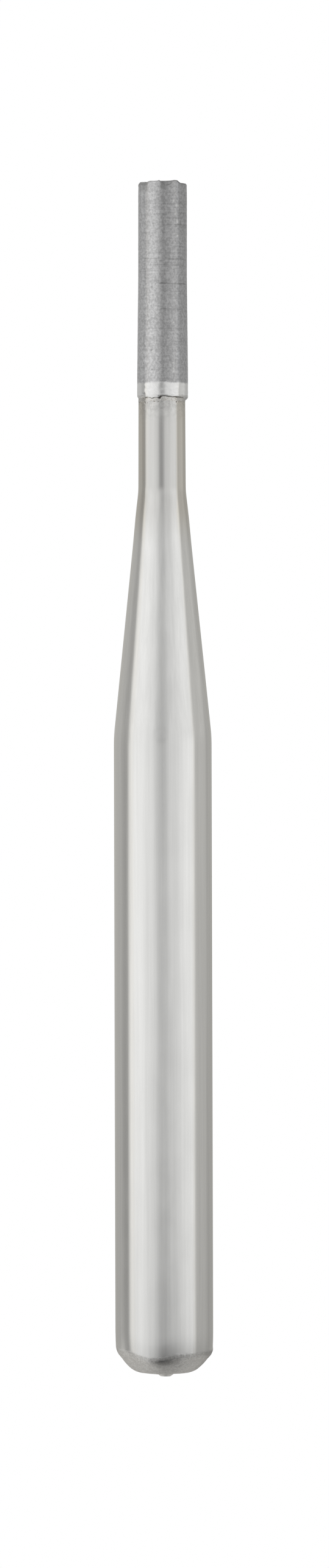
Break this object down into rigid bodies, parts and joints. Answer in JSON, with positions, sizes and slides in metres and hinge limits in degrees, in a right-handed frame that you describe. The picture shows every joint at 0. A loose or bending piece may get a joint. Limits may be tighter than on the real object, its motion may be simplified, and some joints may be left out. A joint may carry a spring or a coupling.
{
  "type": "dental bur",
  "caption": "Friction-grip dental bur: plain cylindrical carbide head brazed to a steel neck, with a cone and a smooth round shank with a rounded end.",
  "frame": {"origin": "centre of the flat of the shank's end, on the shank's axis", "axes": "+Z along the shank's axis, towards the cutting end; +X to the right in the picture, the side that the head is offset to"},
  "size_m": [0.0016, 0.0016, 0.0196],
  "materials": {
    "shank_steel": "ground and tumbled stainless steel, slightly warm, matte on the rounded end",
    "braze_metal": "dull, darkened filler metal",
    "carbide": "satin ground tungsten carbide, neutral grey, bright at its foot"
  },
  "bodies": {
    "root": {"shank": "shank_steel", "braze_joint": "braze_metal", "head": "carbide"}
  },
  "joints": []
}
